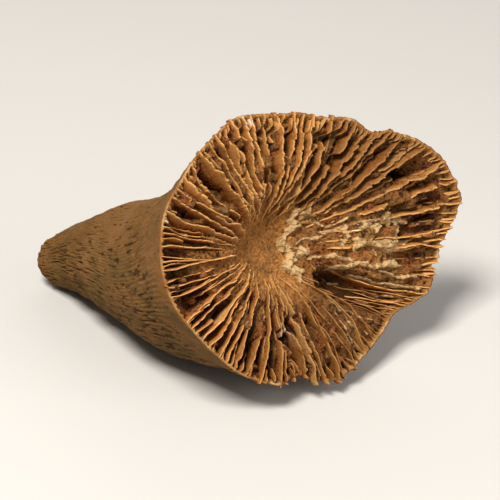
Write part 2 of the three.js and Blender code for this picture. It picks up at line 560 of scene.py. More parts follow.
    def pit_edge(self, around: Array) -> Array:
        """Plan of the pit's edge, where the septum from a rim place arrives.

        Args:
            around: place round the rim, 0 to 1.

        Returns:
            Points, across and up.
        """
        angle = self.angle(around)
        angle = angle + self.pit_skew * np.sin(angle)
        return PIT_CENTRE + stack(
            np.cos(angle) * self.pit_half[0], np.sin(angle) * self.pit_half[1]
        )

    def length(self, around: Array) -> Array:
        """Distance in plan from the rim to the edge of the pit."""
        start = self.horn.rim(around)[..., :2]
        return np.linalg.norm(self.pit_edge(around) - start, axis=-1)

    def bow(self, around: Array) -> Array:
        """How far septa bow sideways on their way in, slowly changing round the cup.

        Args:
            around: place round the rim, 0 to 1.

        Returns:
            Millimetres to the left of the way in.
        """
        turn = 2 * np.pi * np.asarray(around)
        ring = stack(np.cos(turn), np.sin(turn), 0 * turn) * 5
        hollow = 2.0 * np.exp(-(((self.angle(around) + 0.4) / 0.22) ** 2))
        return hollow + 1.1 * noise(ring, 1.6, 5) + 0.5 * noise(ring, 0.5, 6)

    def plan(self, around: Array, inward: Array) -> Array:
        """Place in the cup, seen square on.

        The line from the rim to the edge of the pit, bowed sideways by a sine, and
        then the straight line on to the middle of the pit.

        Args:
            around: place round the rim, 0 to 1.
            inward: place inward.

        Returns:
            Points, across and up.
        """
        around, inward = np.broadcast_arrays(around, inward)
        start, end = self.horn.rim(around)[..., :2], self.pit_edge(around)
        run = end - start
        share = np.minimum(inward, 1.0)[..., None]
        wave = self.bow(around) * np.sin(np.pi * np.clip(inward, 0, 1))
        outer = start + run * share + leftward(run) * wave[..., None]
        beyond = np.clip((inward - 1) / (self.middle - 1), 0, 1)[..., None]
        return outer * (1 - beyond) + PIT_CENTRE * beyond

    def trough(self, plan: Array) -> Array:
        """Depth of the hollows: the trough between the two lobes, and broken pockets.

        Each hollow is given as the ends of its line, its half width and its depth.  It
        gets shallower along the line and eases out to its half width.

        Args:
            plan: points seen square on, across and up.

        Returns:
            Millimetres, 0 away from the hollows.
        """
        total = np.zeros(plan.shape[:-1])
        for start, end, half, depth in self.hollows:
            share, distance = off_line(plan, np.array(start), np.array(end))
            depth = depth * (1 - 0.6 * ease_between(0.45, 1.0, share))
            total += depth * (1 - ease_between(0.15 * half, half, distance))
        return total

    def tone(self, around: Array, inward: Array) -> Array:
        """Lightness by side: partly stone tone, partly painted light and shade; darker
        on the upper right lobe and bottom.
        """
        tone = by_sector(self.tone_and_shade_by_side, self.angle(around))
        return 1 + (tone - 1) * (1 - ease_between(0.7, 1.0, inward))

    def chalky(self, plan: Array) -> Array:
        """Where the few white, limy spots are, 0 to 1.

        Args:
            plan: points seen square on, across and up.

        Returns:
            One share per point.
        """
        total = np.zeros(plan.shape[:-1])
        for spot, reach, strength in self.chalk:
            far = np.linalg.norm(plan - np.array(spot), axis=-1)
            total += strength * np.exp(-((far / reach) ** 2))
        return total

    def crest(self, around: Array, inward: Array) -> Array:
        """Height that the tallest septa reach.

        Args:
            around: place round the rim, 0 to 1.
            inward: place inward.

        Returns:
            Heights in millimetres.
        """
        rim = self.horn.rim(around)
        level = self.platform.at(self.angle(around), inward)
        sag = self.trough(self.plan(around, inward))
        keep = ease_between(-0.02, 0.12, np.asarray(inward))
        return level + rim[..., 2] * np.clip(1 - inward, 0, 1) - sag * keep

    def wall_height(self, around: Array, inward: Array) -> Array:
        """Height of the outer wall straight under a place of the cup.

        Args:
            around: place round the rim, 0 to 1.
            inward: place inward.

        Returns:
            Heights in millimetres.
        """
        turn = np.mod(around, 1.0) * self.wall_columns
        first = np.floor(turn).astype(int) % self.wall_columns
        place = np.clip(inward, 0, 1) * (self.wall_samples - 1)
        return between(self.wall_table, first, turn - np.floor(turn), place)

    def fill(self, around: Array, inward: Array) -> Array:
        """Height of the sediment, which differs from gap to gap and comes in patches.

        Near the wall each of the narrow gaps has its own level; further in, where the
        short septa have ended, two and then four of them share one.

        Args:
            around: place round the rim, 0 to 1.
            inward: place inward.

        Returns:
            Heights in millimetres.
        """
        around, inward = np.broadcast_arrays(around, inward)
        empty = self.emptiness.at(self.angle(around), inward)
        empty = empty + 0.4 * self.trough(self.plan(around, inward))
        gap = np.floor(np.mod(around, 1.0) * SEPTA)
        along = inward * self.length(around)

        def shared(
            gaps: int, apart: float, layer: float, size: float, seed: int
        ) -> Array:
            """Noise that runs inward and that neighbouring gaps have in common."""
            key = stack(np.floor(gap / gaps) * apart, along, layer + 0 * gap)
            return noise(key, size, seed)

        inner = ease_between(0.2, 0.4, inward)
        core = ease_between(0.5, 0.75, inward)
        own = shared(1, 7.3, 0, 2.4, 21)
        pair = shared(2, 9.1, 3, 3.0, 22)
        four = shared(4, 5.7, 9, 3.4, 23)
        patch = own * (1 - inner) + pair * inner * (1 - core) + four * core
        patch = patch * (1 - ease_between(0.75, 0.95, inward))
        level = self.crest(around, inward) - empty * np.clip(1 + 1.2 * patch, 0.1, 1.9)
        bed = 0.4 + 0.8 * ease_between(0.4, 1.6, along)
        return np.maximum(level, self.wall_height(around, inward) + bed)


# ------------------------------------------------------------------------- mesh making
def ring_quads(rows: int, columns: int) -> Index:
    """Faces of a grid whose rows close on themselves, row by row.

    Args:
        rows: number of rows.
        columns: number of points in a row.

    Returns:
        Four point numbers per face, turned so that rows running up and columns
        running anticlockwise face outward.
    """
    row, column = np.meshgrid(np.arange(rows - 1), np.arange(columns), indexing="ij")
    here = row * columns + column
    beside = row * columns + (column + 1) % columns
    return np.stack(
        [here, beside, beside + columns, here + columns], axis=-1
    ).reshape(-1, 4)


def fan(centre: int, first: int, columns: int, turned: bool) -> Index:
    """Triangles from one point to a closed row that starts at the point first.

    Args:
        centre: number of the point in the middle.
        first: number of the row's first point.
        columns: number of points in the row.
        turned: whether the triangles face the other way.

    Returns:
        Three point numbers per triangle.
    """
    here = first + np.arange(columns)
    beside = first + (np.arange(columns) + 1) % columns
    middle = np.full(columns, centre)
    order = (middle, beside, here) if turned else (middle, here, beside)
    return np.stack(order, axis=-1)


@dataclass
class Skin:
    """Points and faces of one piece, with numbers per point for its finish."""

    points: Array
    quads: Index
    triangles: Index
    numbers: dict[str, Array] = field(default_factory=dict)

    def volume(self) -> float:
        """Six times the signed volume: positive when the faces point outward."""
        first = self.quads[:, [0, 1, 2]]
        second = self.quads[:, [0, 2, 3]]
        corners = self.points[np.vstack([first, second, self.triangles])]
        cross = np.cross(corners[:, 1], corners[:, 2])
        return float((corners[:, 0] * cross).sum())

    def outward(self) -> "Skin":
        """The same skin with its faces pointing outward."""
        if self.volume() < 0:
            self.quads = self.quads[:, ::-1]
            self.triangles = self.triangles[:, ::-1]
        return self

    def build(self, name: str, lie: Lie, finish: "Finish") -> bpy.types.Object:
        """Args:
            name: what the piece is called.
            lie: how the coral lies.
            finish: how its surface looks; it reads the skin's numbers.

        Returns:
            The piece, in the scene.
        """
        mesh = bpy.data.meshes.new(name)
        faces = self.quads.tolist() + self.triangles.tolist()
        mesh.from_pydata(lie.points(self.points).tolist(), [], faces)
        mesh.polygons.foreach_set("use_smooth", np.ones(len(faces), dtype=bool))
        for key, values in self.numbers.items():
            kind = "FLOAT" if values.ndim == 1 else "FLOAT_VECTOR"
            layer = mesh.attributes.new(key, kind, "POINT")
            flat = np.ascontiguousarray(values, dtype=np.float32).ravel()
            layer.data.foreach_set("value" if kind == "FLOAT" else "vector", flat)
        mesh.update()
        piece = linked(name, mesh)
        mesh.materials.append(finish.material())
        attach(piece, BODY)
        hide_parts(NODE)
        log.info("%s: %d faces", name, len(faces))
        return piece


def linked(name: str, data: bpy.types.ID) -> bpy.types.Object:
    """Make an object of a mesh, a light or a camera and put it in the scene."""
    made = bpy.data.objects.new(name, data)
    bpy.context.scene.collection.objects.link(made)
    return made


# ----------------------------------------------------------------------------- finishes
class Sketch:
    """Small helper that lays out and links the nodes of one material."""

    def __init__(self, name: str, roughness: float, gloss: float) -> None:
        """Start a material with an output and a main shader.

        Args:
            name: what the material is called.
            roughness: of the main shader, 0 to 1.
            gloss: how strongly it mirrors, 0 to 1.
        """
        self.material = bpy.data.materials.new(name)
        self.material.use_nodes = True
        self.tree = self.material.node_tree
        self.tree.nodes.clear()
        self.shader = self.node(
            "ShaderNodeBsdfPrincipled",
            {"Roughness": roughness, "Specular IOR Level": gloss},
        )
        self.node("ShaderNodeOutputMaterial", {"Surface": self.shader.outputs["BSDF"]})

    def node(
        self, kind: str, inputs: dict[str | int, object], **settings: object
    ) -> bpy.types.Node:
        """Add a node, set its properties and feed its inputs.

        Args:
            kind: the node's type.
            inputs: what feeds its inputs, by name or number.
            settings: its properties by name.

        Returns:
            The node.
        """
        made = self.tree.nodes.new(kind)
        for key, value in settings.items():
            setattr(made, key, value)
        for key, value in inputs.items():
            self.feed(made.inputs[key], value)
        return made

    def feed(self, socket: Socket, value: object) -> None:
        """Feed an input with another node's output or with a fixed value.

        Args:
            socket: the input.
            value: an output, a number or a colour.
        """
        if isinstance(value, Socket):
            self.tree.links.new(value, socket)
        elif socket.type == "RGBA":
            socket.default_value = (*value, 1.0)
        else:
            socket.default_value = value

    def number(self, name: str) -> Socket:
        """Read a number that the mesh carries per point."""
        return self.node("ShaderNodeAttribute", {}, attribute_name=name).outputs["Fac"]

    def vector(self, name: str) -> Socket:
        """Read a vector that the mesh carries per point."""
        made = self.node("ShaderNodeAttribute", {}, attribute_name=name)
        return made.outputs["Vector"]

    def place(self) -> Socket:
        """The object's own coordinates, in metres."""
        return self.node("ShaderNodeTexCoord", {}).outputs["Object"]

    def speckle(
        self, place: Socket, scale: float, detail: float, harshness: float = 0.55
    ) -> Socket:
        """Layered noise, 0 to 1.

        Args:
            place: where the noise is read.
            scale: how many grains there are in a unit of place.
            detail: how many finer layers there are.
            harshness: how strong the finer layers are.

        Returns:
            The noise.
        """
        return self.node(
            "ShaderNodeTexNoise",
            {"Vector": place, "Scale": scale, "Detail": detail, "Roughness": harshness},
        ).outputs["Fac"]

    def band(
        self, value: Socket, low: float, high: float,
        start: float = 0.0, end: float = 1.0,
    ) -> Socket:
        """Map low..high to start..end, eased and held at both ends.

        Args:
            value: what is mapped.
            low: value that gives start.
            high: value that gives end.
            start: what low gives.
            end: what high gives.

        Returns:
            The mapped value.
        """
        return self.node(
            "ShaderNodeMapRange",
            {
                "Value": value, "From Min": low, "From Max": high,
                "To Min": start, "To Max": end,
            },
            interpolation_type="SMOOTHSTEP",
        ).outputs["Result"]

    def spots(
        self, place: Socket, scale: float, detail: float, low: float, high: float,
        *ends: float, harshness: float = 0.55,
    ) -> Socket:
        """Layered noise, with its values from low to high mapped as by band."""
        layered = self.speckle(place, scale, detail, harshness)
        return self.band(layered, low, high, *ends)

    def times(self, first: object, second: object) -> Socket:
        """Product of two numbers, held between 0 and 1."""
        return self.sums("MULTIPLY", first, second)

    def sums(self, operation: str, first: object, second: object) -> Socket:
        """One step of arithmetic, held between 0 and 1."""
        return self.node(
            "ShaderNodeMath", {0: first, 1: second}, operation=operation, use_clamp=True
        ).outputs[0]

    def blend(
        self, share: object, first: object, second: object, way: str = "MIX"
    ) -> Socket:
        """Mix two colours: the node's sockets 6 and 7 in and 2 out are for colours.

        Args:
            share: how much of the second colour there is.
            first: colour below.
            second: colour above.
            way: how they mix.

        Returns:
            The mixed colour.
        """
        return self.node(
            "ShaderNodeMix", {0: share, 6: first, 7: second},
            data_type="RGBA", blend_type=way,
        ).outputs[2]

    def over(self, colour: object, *layers: tuple[object, object]) -> object:
        """Lay colours over a colour, each given as where it lies and what it is."""
        for share, paint in layers:
            colour = self.blend(share, colour, paint)
        return colour

    def relief(self, *layers: tuple[Socket, float, float]) -> Socket:
        """Bumps upon bumps, each given as height, depth in metres and strength.

        Args:
            layers: the bumps, the lowest first.

        Returns:
            The bumped normal.
        """
        normal: dict[str, Socket] = {}
        for height, depth, strength in layers:
            inputs = {"Height": height, "Distance": depth, "Strength": strength}
            made = self.node("ShaderNodeBump", inputs | normal)
            normal = {"Normal": made.outputs["Normal"]}
        return normal["Normal"]

    def finish(self, colour: object, normal: Socket) -> None:
        """Set the main shader's colour and relief."""
        self.feed(self.shader.inputs["Base Color"], colour)
        self.feed(self.shader.inputs["Normal"], normal)


@dataclass(frozen=True)
class Finish:
    """A stony finish.  Each kind of surface lays out its own nodes."""

    name: str
    roughness: float = 0.86
    gloss: float = 0.12

    def material(self) -> bpy.types.Material:
        """Make the finish's material, or fetch it when it was made before."""
        known = bpy.data.materials.get(self.name)
        if known:
            return known
        sketch = Sketch(self.name, self.roughness, self.gloss)
        self.lay_out(sketch)
        return sketch.material

    def lay_out(self, sketch: Sketch) -> None:
        """Lay out the nodes; each kind of surface says how."""
        raise NotImplementedError(sketch.material.name)


@dataclass(frozen=True)
class WallFinish(Finish):
    """Worn outer wall: tan, olive stains, ribs and drawn-out pits; painted shade in
    grooves, pits and on the lower side.
    """

    name: str = "coral_wall"
    tan: Colour = (0.185, 0.089, 0.0245)
    olive: Colour = (0.11, 0.068, 0.019)
    warm: Colour = (0.225, 0.095, 0.022)
    rose: Colour = (0.208, 0.098, 0.035)
    # painted shade: the dark of the pits
    pit: Colour = (0.052, 0.026, 0.008)
    lip: Colour = (0.3, 0.12, 0.032)
    pale: Colour = (0.55, 0.32, 0.13)
    mottle_dark: Colour = (0.25, 0.2, 0.16)
    mottle_light: Colour = (0.78, 0.76, 0.72)

    def lay_out(self, sketch: Sketch) -> None:
        """Lay out the nodes: stone colours, the lip, then painted shade in the grooves
        and pits.

        Args:
            sketch: the material to lay out.
        """
        place = sketch.place()
        drawn, ribbed = sketch.vector("drawn"), sketch.vector("ribbed")
        # Olive stains, made stronger towards the lower side: there partly painted
        # shade.
        stain = sketch.times(
            sketch.spots(place, 170.0, 4.0, 0.42, 0.62), sketch.number("stain")
        )
        colour = sketch.over(
            self.tan,
            (sketch.spots(drawn, 0.35, 3.0, 0.35, 0.65), shade(self.tan, 0.8)),
            (sketch.spots(place, 110.0, 3.0, 0.45, 0.62, 0.0, 0.7), self.rose),
            (sketch.number("band"), self.warm),
            (stain, self.olive),
        )
        fine = sketch.speckle(drawn, 2.2, 4.0, 0.65)
        mottle = sketch.blend(fine, self.mottle_dark, self.mottle_light)
        colour = sketch.blend(0.55, colour, mottle, "SOFT_LIGHT")
        lip = sketch.blend(
            sketch.spots(place, 260.0, 3.0, 0.45, 0.65), self.lip, self.pale
        )
        dashes = sketch.sums(
            "ADD", sketch.speckle(ribbed, 0.85, 3.0),
            sketch.times(sketch.number("dense"), 0.12),
        )
        # Painted shade: the pits are painted dark.
        holes = sketch.band(dashes, 0.66, 0.76)
        streaks = sketch.spots(ribbed, 1.1, 2.0, 0.4, 0.7, 0.0, 0.45)
        colour = sketch.over(
            colour,
            (streaks, shade(self.tan, 0.55)),
            (sketch.number("rim"), lip),
            # painted shade in the grooves between the ribs
            (sketch.times(sketch.number("groove"), 0.2), shade(self.tan, 0.5)),
            # painted shade in the pits, darker still on the lower side
            (holes, self.pit),
            (sketch.band(sketch.number("dents"), 0.15, 1.0, 0.0, 0.6), self.pit),
        )
        sketch.finish(colour, sketch.relief(
            (fine, 0.0003, 0.7),
            (sketch.speckle(place, 1000.0, 4.0, 0.6), 0.0006, 0.6),
            (sketch.sums("SUBTRACT", 1.0, holes), 0.0006, 0.9),
        ))


@dataclass(frozen=True)
class SeptumFinish(Finish):
    """Septa: orange-tan faces with painted shade deep down, pale chipped edges partly
    painted highlight, stuck grains.
    """

    name: str = "septum"
    gloss: float = 0.04
    face: Colour = (0.19, 0.055, 0.009)
    tan: Colour = (0.252, 0.097, 0.021)
    deep: Colour = (0.1, 0.028, 0.006)
    pale: Colour = (0.53, 0.275, 0.09)
    cream: Colour = (0.44, 0.23, 0.075)
    white: Colour = (0.7, 0.6, 0.42)
    grain_dark: Colour = (0.05, 0.016, 0.005)
    grain_red: Colour = (0.24, 0.072, 0.016)
    grain_light: Colour = (0.29, 0.108, 0.026)

    def lay_out(self, sketch: Sketch) -> None:
        """Lay out the nodes: faces with painted shade deep down, edges with painted
        highlights, stuck grains, then white lime.

        Args:
            sketch: the material to lay out.
        """
        place = sketch.place()
        own, below, edge = (sketch.number(name) for name in ("tone", "below", "edge"))
        cloud = sketch.spots(place, 210.0, 4.0, 0.3, 0.7, harshness=0.6)
        pores = sketch.spots(place, 1300.0, 3.0, 0.36, 0.46, 0.5, 0.0, harshness=0.7)
        frayed = sketch.spots(place, 900.0, 2.0, 0.25, 0.5)
        # Painted glints: white spots along the upper edges.
        glints = sketch.times(
            sketch.spots(place, 150.0, 2.0, 0.68, 0.74), sketch.band(edge, 0.5, 0.9)
        )
        crumbs = sketch.speckle(place, 2300.0, 2.0, 0.6)
        crumb = sketch.over(
            self.grain_dark,
            (sketch.band(crumbs, 0.38, 0.5), self.grain_red),
            (sketch.band(crumbs, 0.54, 0.62), self.grain_light),
        )
        patch = sketch.sums(
            "ADD", sketch.speckle(place, 230.0, 4.0, 0.6),
            sketch.band(below, 0.3, 4.0, 0.0, 0.1),
        )
        stuck = sketch.times(sketch.band(patch, 0.54, 0.57), sketch.number("stuck"))
        colour = sketch.over(
            self.face,
            (sketch.blend(0.5, cloud, own), self.tan),
            (sketch.band(own, 0.72, 0.95, 0.0, 0.6), self.cream),
            (pores, self.deep),
            # painted shade: the faces darker the deeper they lie below the crest
            (sketch.band(below, 0.8, 4.5), self.deep),
            # pale upper edges: partly worn stone, partly painted highlight
            (sketch.times(edge, frayed), self.pale),
            (glints, self.white),
            (stuck, crumb),
        )
        # lighter or darker by side of the cup: partly the stone's tone, partly painted
        # light and shade
        colour = sketch.blend(1.0, colour, sketch.number("light"), "MULTIPLY")
        limy = sketch.times(
            sketch.number("chalk"), sketch.spots(place, 700.0, 3.0, 0.4, 0.55)
        )
        limy = sketch.times(limy, sketch.band(edge, 0.0, 0.5, 0.2, 1.0))
        colour = sketch.blend(limy, colour, self.white)
        lumps = sketch.times(crumbs, sketch.sums("ADD", stuck, 0.12))
        sketch.finish(colour, sketch.relief(
            (lumps, 0.0004, 0.8), (sketch.speckle(place, 800.0, 4.0, 0.65), 0.0003, 0.3)
        ))


@dataclass(frozen=True)
class SedimentFinish(Finish):
    """Sandy sediment cemented in the gaps and the pit: painted shade deeper down,
    painted light on the pit's matrix.
    """

    name: str = "sediment"
    roughness: float = 0.92
    dark: Colour = (0.06, 0.024, 0.009)
    red: Colour = (0.22, 0.065, 0.0145)
    tan: Colour = (0.25, 0.11, 0.028)
    pale: Colour = (0.38, 0.215, 0.08)
    # The pit's matrix: paler, partly its own colour, partly painted light against the
    # shade down in the pit.
    centre_dark: Colour = (0.17, 0.066, 0.018)
    centre_light: Colour = (0.38, 0.16, 0.041)
    crust_tan: Colour = (0.3, 0.16, 0.055)
    crust_cream: Colour = (0.55, 0.36, 0.165)
    stain: Colour = (0.13, 0.07, 0.026)

    def lay_out(self, sketch: Sketch) -> None:
        """Lay out the nodes: grains, painted shade deep down, stains and pores, then
        the crust over them.

        Args:
            sketch: the material to lay out.
        """
        place = sketch.place()
        centre = sketch.number("centre")
        grains = sketch.speckle(place, 2100.0, 3.0, 0.7)
        light = sketch.over(
            self.red,
            (sketch.spots(place, 190.0, 3.0, 0.35, 0.65), self.tan),
            (centre, self.centre_light),
        )
        colour = sketch.over(
            sketch.blend(centre, self.dark, self.centre_dark),
            (sketch.band(grains, 0.34, 0.56), light),
            (sketch.spots(place, 1500.0, 2.0, 0.64, 0.74), self.pale),
            # painted shade: darker the deeper the sediment lies below the crest
            (sketch.band(sketch.number("below"), 0.8, 4.0), self.dark),
        )
        # lighter or darker by side of the cup: partly the stone's tone, partly painted
        # light and shade
        colour = sketch.blend(1.0, colour, sketch.number("light"), "MULTIPLY")
        stain = sketch.spots(place, 240.0, 4.0, 0.5, 0.64, 0.0, 0.55, harshness=0.65)
        pores = sketch.times(
            sketch.spots(place, 800.0, 3.0, 0.35, 0.42, 1.0, 0.0, harshness=0.6),
            sketch.band(centre, 0.0, 1.0, 0.9, 0.25),
        )
        patches = sketch.spots(place, 420.0, 4.0, 0.34, 0.54, harshness=0.65)
        cream = sketch.blend(patches, self.crust_tan, self.crust_cream)
        colour = sketch.over(
            colour,
            (stain, self.stain),
            (pores, shade(self.dark, 0.5)),
            (sketch.band(sketch.number("crust"), 0.12, 0.4), cream),
        )
        sketch.finish(colour, sketch.relief(
            (grains, 0.0006, 0.9), (patches, 0.0003, 0.6),
            (sketch.sums("SUBTRACT", 1.0, pores), 0.0005, 0.8),
        ))


# ------------------------------------------------------------------------------- pieces
@dataclass
class Wall:
    """The horn's skin: outer wall, worn rim, and the inside of the wall.

    The inside goes down to the place inner_end on the horn, and closes at the point
    bottom in the stone.  The tip is closed by rings, given as shares of its radius.
    """

    horn: Horn
    cup: Cup
    columns: int = SEPTA * 6
    outer_rows: int = 88
    inner_rows: int = 9
    thickness: float = 0.55
    inner_end: float = 0.17
    rib: float = 0.11
    pit_depth: float = 0.3
    cap_rings: Triple = (0.35, 0.72, 0.93)
    cap_height: float = 1.2
    pole_depth: float = 1.1
    bottom: Triple = (-5.0, -2.0, -14.0)

    def dents(self, around: Array, along: Array) -> Array:
        """Where the small drawn-out pits are, in rows down the wall, 0 to 1."""
        place = stack(around * SEPTA / 0.9, along * 0.7, 0 * along)
        patch = noise(stack(around * SEPTA / 12, along * 0.1, 5 + 0 * along), 1.0, 55)
        return ease_between(0.4, 0.72, noise(place, 1.0, 54) + 0.3 * patch)

    def relief(self, around: Array, down: Array, smooth: Array) -> Array:
        """Ribs that carry the septa on down the wall, pits and worn unevenness.

        Args:
            around: place round the rim, 0 to 1.
            down: place down the horn, 0 to 1.
            smooth: the same places on the smooth wall.

        Returns:
            Millimetres outward.
        """
        worn_off = ease_between(-0.3, 0.5, noise(smooth, 5.0, 45))
        rib = np.cos(2 * np.pi * SEPTA * around) * self.rib
        rib = rib * (0.35 + 0.65 * ease_between(0.02, 0.12, down))
        rib = rib * (1 - 0.6 * down)
        rib = rib * (0.25 + 0.75 * worn_off)
        worn = 0.2 * rough(smooth, 3.0, 41, 3) + 0.13 * noise(smooth, 0.9, 44)
        worn = worn * (1 + 1.3 * ease_between(0.82, 1.0, down))
        pits = self.pit_depth * self.dents(around, smooth @ HORN_AXIS)
        pits = pits * ease_between(0.08, 0.2, down)
        rounded = 1.5 * ease_between(0.95, 1.03, down)
        return rib - pits - rounded + worn * ease_between(-0.02, 0.1, down)

    def cap(self, tip: Array) -> Array:
        """Rings over the blunt tip, which is slightly domed and rough.

        Args:
            tip: the lowest row of the outer wall.

        Returns:
            Rows of points.
        """
        share = np.array(self.cap_rings)[:, None]
        middle = tip.mean(0)
        cap = middle + (tip - middle) * share[..., None]
        cap[..., 2] -= self.cap_height * (1 - share**2.2)
        cap[..., 2] += 0.4 * rough(cap, 1.8, 47, 3)
        return cap

    def inside(self, around: Array, start: Array) -> Array:
        """Rows down the inside of the wall, which gets thicker on the way.

        Args:
            around: place round the rim, 0 to 1.
            start: place down the horn where the wall begins.

        Returns:
            Rows of points.
        """
        scallop = np.abs(np.cos(np.pi * SEPTA * around)) ** 4
        rows = []
        for step in np.linspace(0, 1, self.inner_rows):
            depth = start + 0.012 * step + (self.inner_end - start) * step**1.6
            thick = self.thickness + 0.9 * step + 0.4 * scallop * (1 - step)
            row = self.horn.wall(around, depth, -thick)
            row[:, 2] -= 0.15
            rows.append(row)
        return np.array(rows)

    def skin(self) -> Skin:
        """Outer rows from the tip up, the rounded rim, and the inner rows down."""
        around = np.arange(self.columns) / self.columns
        start = self.cup.drop(around) / HORN_HEIGHT
        steps = np.linspace(1, 0, self.outer_rows) ** 1.12
        down = start + (1 - start) * steps[:, None]
        ring = np.broadcast_to(around, down.shape)
        smooth = self.horn.wall(ring, down)
        outer = self.horn.wall(ring, down, self.relief(ring, down, smooth))
        inner = self.inside(around, start)
        top = (outer[-1] + inner[0]) / 2
        top[:, 2] += 0.12 + 0.1 * noise(top, 0.8, 48)

        grid = np.concatenate([self.cap(outer[0]), outer, top[None], inner])
        count = len(grid)
        last = count * self.columns
        pole = outer[0].mean(0) - np.array([0, 0, self.pole_depth])
        points = np.vstack([grid.reshape(-1, 3), pole, self.bottom])
        triangles = np.vstack([
            fan(last, 0, self.columns, True),
            fan(last + 1, last - self.columns, self.columns, False),
        ])
        place = np.concatenate([
            np.ones((len(self.cap_rings), self.columns)), down,
            np.broadcast_to(start, (1 + self.inner_rows, self.columns)),
        ])
        return Skin(
            points, ring_quads(count, self.columns), triangles,
            self.numbers(points, place, count),
        ).outward()

    def numbers(self, points: Array, down: Array, rows: int) -> dict[str, Array]:
        """Numbers for the finish: bands, stains, pits, grooves; painted shade goes in
        pits, grooves and on the lower side.

        Args:
            points: the grid row by row, then the tip's pole and the bottom.
            down: place down the horn of the grid's points.
            rows: how many rows the grid has.

        Returns:
            The numbers by name, one per point.
        """
        down = np.append(down.ravel(), [1.0, 0.2])
        around = np.tile(np.arange(self.columns) / self.columns, rows)
        around = np.append(around, [0, 0])
        row = np.repeat(np.arange(rows), self.columns)
        rim_row = self.outer_rows + len(self.cap_rings)
        rim = np.append(np.exp(-(((row - rim_row) / 0.8) ** 2)), [0, 0])
        along = points @ HORN_AXIS
        aside = points - along[:, None] * HORN_AXIS
        # The lower side, where the finish paints shade: stronger olive stains and
        # darker pits.
        low = ease_between(4, -14, points[:, 1])
        # Between the ribs, where the finish paints shade.
        groove = 0.5 - 0.5 * np.cos(2 * np.pi * SEPTA * around)
        dense = 0.45 + 0.4 * low + 0.35 * noise(points, 9.0, 52)
        pitted = self.dents(around, along) * ease_between(0.08, 0.2, down)
        return {
            "drawn": aside + HORN_AXIS * (along * 0.38)[:, None],
            "ribbed": stack(around * SEPTA, along * 0.42, 0 * along),
            "dents": pitted * (0.45 + 0.55 * low),
            "dense": dense
            * ease_between(0.06, 0.2, down) * ease_between(0.9, 0.6, down),
            "rim": rim,
            "band": ease_between(0.1, 0.02, down) * 0.75
            + 0.35 * ease_between(0.75, 1.0, down),
            "stain": np.clip(0.3 + 0.7 * low + 0.2 * noise(points, 6, 51), 0, 1),
            "groove": groove * ease_between(0.08, 0.3, down),
        }

    def build(self, lie: Lie) -> bpy.types.Object:
        """Make the piece."""
        skin = self.skin()
        skin.points = lie.worn(skin.points)
        return skin.build("corallum_wall", lie, WallFinish())


